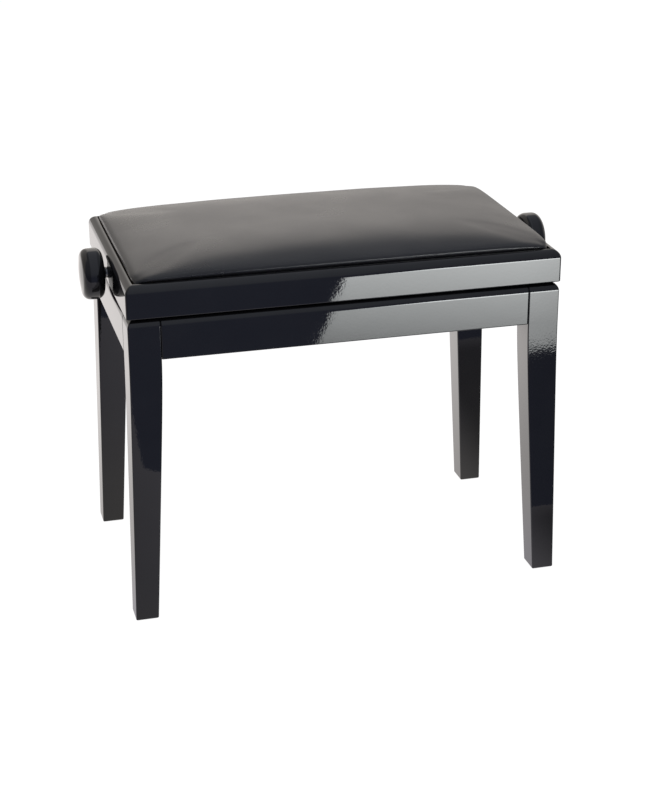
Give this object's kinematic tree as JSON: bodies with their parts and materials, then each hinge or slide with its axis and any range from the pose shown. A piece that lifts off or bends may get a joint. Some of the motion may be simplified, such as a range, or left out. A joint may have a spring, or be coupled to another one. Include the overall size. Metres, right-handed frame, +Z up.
{
  "type": "adjustable piano bench",
  "caption": "Black lacquered piano bench with a padded seat raised by a spindle-driven scissor lift, turned by round knobs at both ends.",
  "frame": {"origin": "on the floor under the middle of the bench", "axes": "+X along the bench's length and the spindle, -Y towards the front, +Z up"},
  "size_m": [0.624, 0.329, 0.476],
  "materials": {
    "black_lacquer": "high-gloss piano lacquer on solid wood, mirror-like",
    "black_leatherette": "smooth satin leatherette over foam",
    "plywood": "raw birch plywood",
    "beech": "raw beech",
    "zinc_plated_steel": "zinc plated, satin",
    "blackened_steel": "black oxide, slightly glossy",
    "bronze": "machined bronze",
    "black_nylon": "moulded nylon"
  },
  "bodies": {
    "base": {"leg_front_left": "black_lacquer", "leg_front_right": "black_lacquer", "leg_back_left": "black_lacquer", "leg_back_right": "black_lacquer", "apron_front": "black_lacquer", "apron_back": "black_lacquer", "apron_left": "black_lacquer", "apron_right": "black_lacquer", "corner_block_front_left": "beech", "corner_block_front_right": "beech", "corner_block_back_left": "beech", "corner_block_back_right": "beech", "corner_bolt_front_left": "blackened_steel", "corner_bolt_front_right": "blackened_steel", "corner_bolt_back_left": "blackened_steel", "corner_bolt_back_right": "blackened_steel", "glide_front_left": "black_nylon", "glide_front_right": "black_nylon", "glide_back_left": "black_nylon", "glide_back_right": "black_nylon", "base_channel_front": "zinc_plated_steel", "base_channel_back": "zinc_plated_steel", "tab_screw_front_left": "zinc_plated_steel", "tab_screw_front_right": "zinc_plated_steel", "tab_screw_back_left": "zinc_plated_steel", "tab_screw_back_right": "zinc_plated_steel", "base_pivot_rod": "zinc_plated_steel"},
    "seat": {"seat_rail_front": "black_lacquer", "seat_rail_back": "black_lacquer", "seat_rail_left": "black_lacquer", "seat_rail_right": "black_lacquer", "pad_board": "plywood", "seat_cushion": "black_leatherette", "seat_channel_front": "zinc_plated_steel", "seat_channel_back": "zinc_plated_steel", "channel_screw_front_left": "zinc_plated_steel", "channel_screw_front_right": "zinc_plated_steel", "channel_screw_back_left": "zinc_plated_steel", "channel_screw_back_right": "zinc_plated_steel", "seat_pivot_pin_front": "zinc_plated_steel", "seat_pivot_pin_back": "zinc_plated_steel", "bush_left": "bronze", "bush_right": "bronze"},
    "arms_a": {"arm_a_front": "zinc_plated_steel", "arm_a_back": "zinc_plated_steel", "centre_pin_front": "zinc_plated_steel", "centre_pin_back": "zinc_plated_steel"},
    "arms_b": {"arm_b_front": "zinc_plated_steel", "arm_b_back": "zinc_plated_steel", "sliding_rod": "zinc_plated_steel"},
    "nut_crossbar": {"crossbar": "zinc_plated_steel", "spindle_nut": "bronze"},
    "spindle_and_knobs": {"spindle": "zinc_plated_steel", "thrust_collar_left": "blackened_steel", "thrust_collar_right": "blackened_steel", "grub_screw_left": "zinc_plated_steel", "grub_screw_right": "zinc_plated_steel", "knob_left": "black_lacquer", "knob_right": "black_lacquer"}
  },
  "joints": [
    {"name": "seat_lift", "type": "slide", "parent": "base", "child": "seat", "axis": [0, 0, 1], "range_m": [0, 0.09]},
    {"name": "spindle_turn", "type": "hinge", "parent": "seat", "child": "spindle_and_knobs", "pos_m": [0, 0, 0.4175], "axis": [1, 0, 0], "range_deg": [0, 2568]},
    {"name": "nut_travel", "type": "slide", "parent": "seat", "child": "nut_crossbar", "axis": [-1, 0, 0], "range_m": [0, 0.0215]},
    {"name": "arms_a_swing", "type": "hinge", "parent": "base", "child": "arms_a", "pos_m": [-0.2085, 0, 0.366], "axis": [0, -1, 0], "range_deg": [0, 12.7]},
    {"name": "arms_b_swing", "type": "hinge", "parent": "seat", "child": "arms_b", "pos_m": [-0.2085, 0, 0.4175], "axis": [0, 1, 0], "range_deg": [0, 12.7]}
  ],
  "couplings": [
    {"joint": "spindle_turn", "follows": "seat_lift", "rad_per_m": 497.64},
    {"joint": "nut_travel", "follows": "seat_lift", "ratio": 0.2376},
    {"joint": "arms_a_swing", "follows": "seat_lift", "rad_per_m": 2.4522},
    {"joint": "arms_b_swing", "follows": "seat_lift", "rad_per_m": 2.4522}
  ]
}
